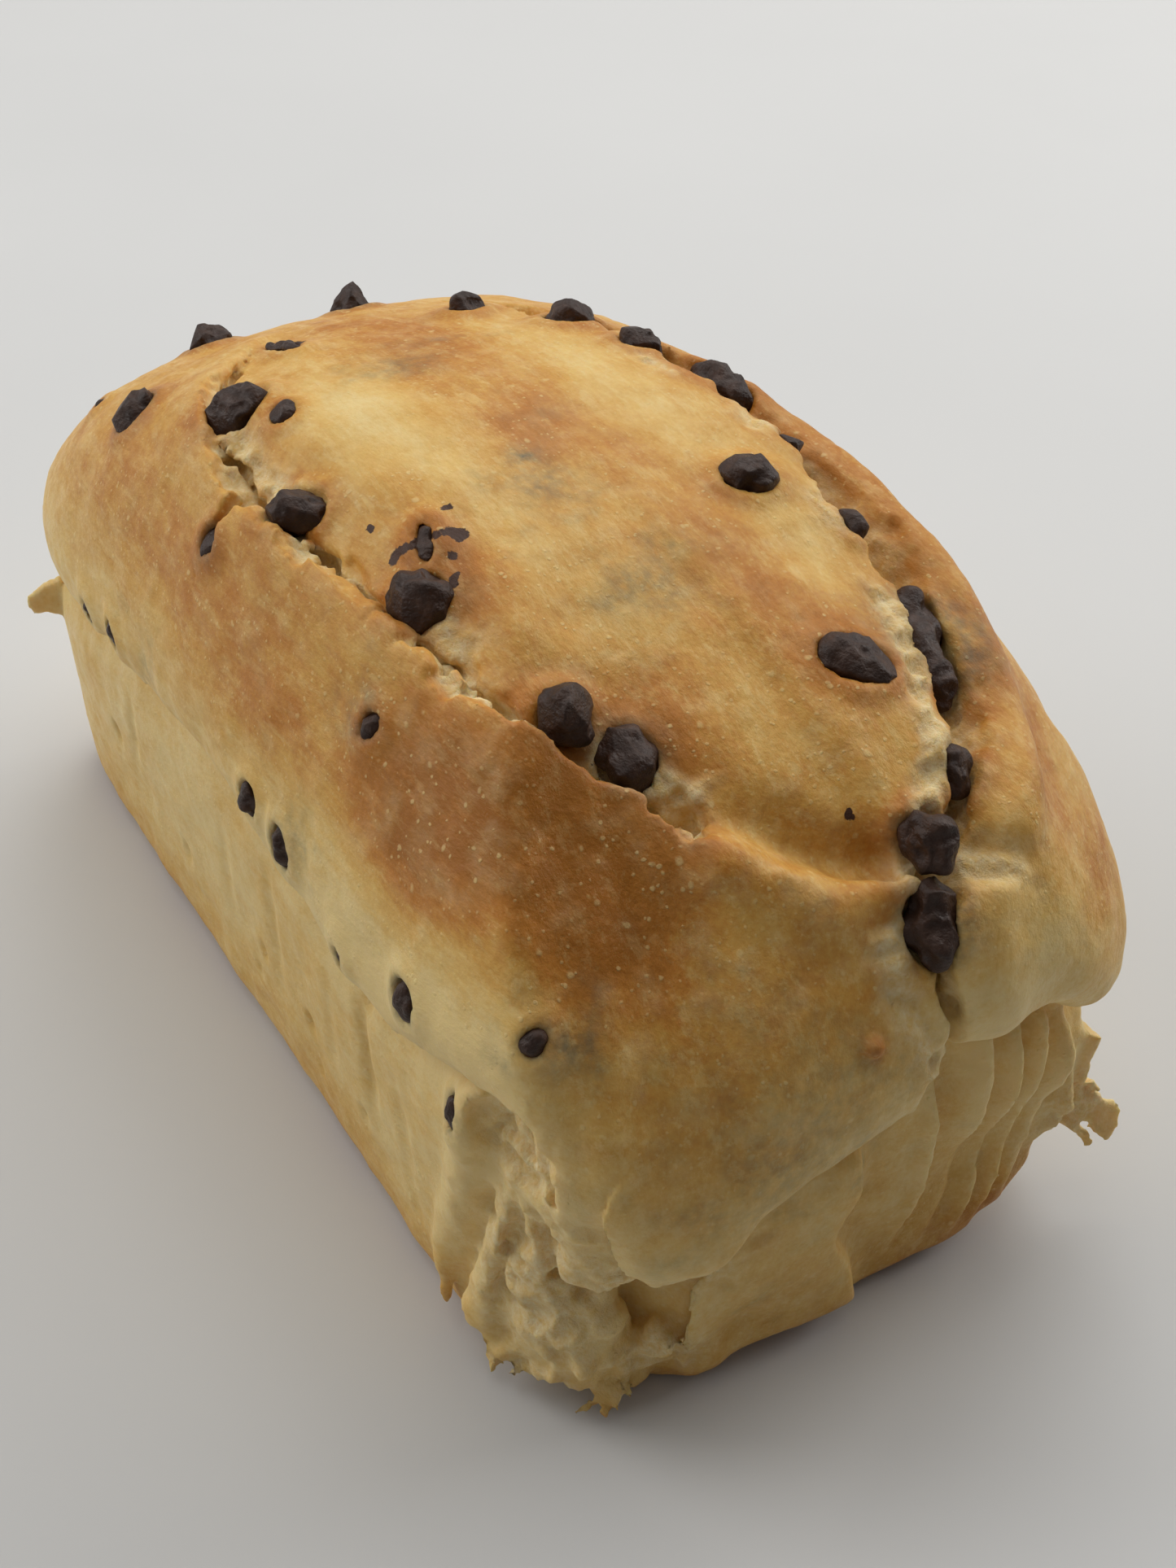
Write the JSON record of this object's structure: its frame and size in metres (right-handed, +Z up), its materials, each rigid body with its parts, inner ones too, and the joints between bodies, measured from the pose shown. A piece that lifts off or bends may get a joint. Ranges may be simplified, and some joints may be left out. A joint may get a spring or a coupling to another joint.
{
  "type": "chocolate chip brioche loaf",
  "caption": "Rectangular brioche loaf with a split, domed crown over pale tin-side walls and chocolate set in the crust.",
  "frame": {"origin": "under the middle of the bounding box, on the flat base", "axes": "+X along the loaf toward its pleated end, -Y the long side with the torn corner, +Z up"},
  "size_m": [0.2264, 0.1182, 0.1183],
  "materials": {
    "crust": "baked egg-washed dough: satin golden-brown crown, pale matt walls",
    "chocolate": "dark chocolate, satin, melted and set in the oven"
  },
  "bodies": {
    "root": {"loaf": "crust", "chip_far_end_tip": "chocolate", "chip_far_end_round": "chocolate", "chip_far_shoulder": "chocolate", "chip_far_speck": "chocolate", "smear_far_top": "chocolate", "chip_far_seam": "chocolate", "chip_far_seam_small": "chocolate", "chip_crest_far": "chocolate", "chip_crest_middle": "chocolate", "chip_crest_near": "chocolate", "chip_in_tear": "chocolate", "chip_tear_head": "chocolate", "chip_left_seam_round": "chocolate", "smear_left_seam": "chocolate", "chip_left_seam_big": "chocolate", "chip_left_seam_next": "chocolate", "chip_oval_round": "chocolate", "chip_oval_star": "chocolate", "chip_oval_heart": "chocolate", "melt_right_seam_far": "chocolate", "chip_right_seam_mid": "chocolate", "chip_right_seam_small": "chocolate", "melt_right_seam_long": "chocolate", "melt_right_seam_next": "chocolate", "melt_right_seam_end": "chocolate", "chip_side_edge_a": "chocolate", "chip_side_edge_b": "chocolate", "chip_side_edge_c": "chocolate", "chip_side_sliver": "chocolate", "chip_side_high": "chocolate", "chip_side_far_a": "chocolate", "chip_side_far_b": "chocolate", "chip_corner_dot": "chocolate", "chip_under_fold": "chocolate", "chip_end_flat": "chocolate", "chip_end_bottom": "chocolate"}
  },
  "joints": []
}
